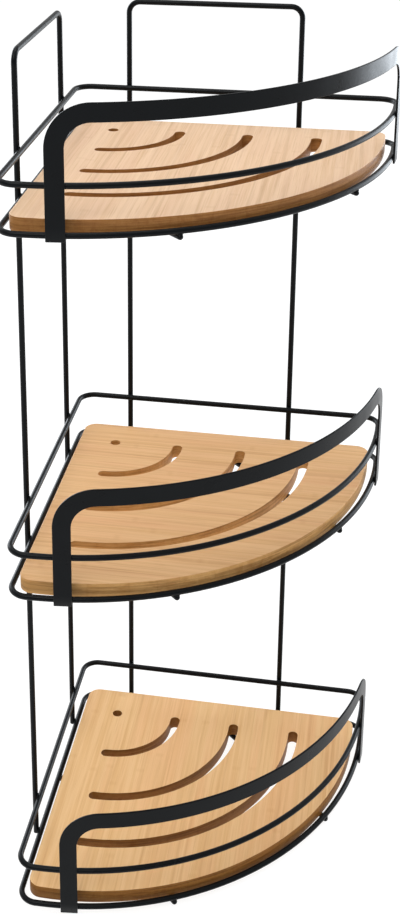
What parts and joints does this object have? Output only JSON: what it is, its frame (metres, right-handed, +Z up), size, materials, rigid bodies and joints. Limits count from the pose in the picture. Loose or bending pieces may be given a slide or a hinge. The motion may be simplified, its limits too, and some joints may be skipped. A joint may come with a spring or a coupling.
{
  "type": "shower caddy",
  "caption": "Tall corner shower caddy: bent-wire frame with lift-out drained bamboo boards, paired wire rings and curved flat-bar front guards.",
  "frame": {"origin": "middle of the part's box in plan, on the surface that the part stands on", "axes": "+Z up; the back wall is along X at +Y and the left wall along Y at -X, so the wall corner is at -X, +Y and the rounded front faces +X and -Y"},
  "size_m": [0.2384, 0.2384, 0.6018],
  "materials": {
    "black_powder_coat": "satin",
    "bamboo_board": "satin"
  },
  "bodies": {
    "frame": {"left_upright": "black_powder_coat", "back_upright": "black_powder_coat", "bottom_lower_ring": "black_powder_coat", "bottom_upper_ring": "black_powder_coat", "bottom_front_guard": "black_powder_coat", "bottom_left_support_wire": "black_powder_coat", "bottom_right_support_wire": "black_powder_coat", "middle_lower_ring": "black_powder_coat", "middle_upper_ring": "black_powder_coat", "middle_front_guard": "black_powder_coat", "middle_left_support_wire": "black_powder_coat", "middle_right_support_wire": "black_powder_coat", "top_lower_ring": "black_powder_coat", "top_upper_ring": "black_powder_coat", "top_front_guard": "black_powder_coat", "top_left_support_wire": "black_powder_coat", "top_right_support_wire": "black_powder_coat"},
    "bottom_board": {"bottom_board": "bamboo_board"},
    "middle_board": {"middle_board": "bamboo_board"},
    "top_board": {"top_board": "bamboo_board"}
  },
  "joints": [
    {"name": "bottom_board_lift", "type": "slide", "parent": "frame", "child": "bottom_board", "axis": [0, 0, 1], "range_m": [0, 0.09]},
    {"name": "middle_board_lift", "type": "slide", "parent": "frame", "child": "middle_board", "axis": [0, 0, 1], "range_m": [0, 0.09]},
    {"name": "top_board_lift", "type": "slide", "parent": "frame", "child": "top_board", "axis": [0, 0, 1], "range_m": [0, 0.09]}
  ]
}
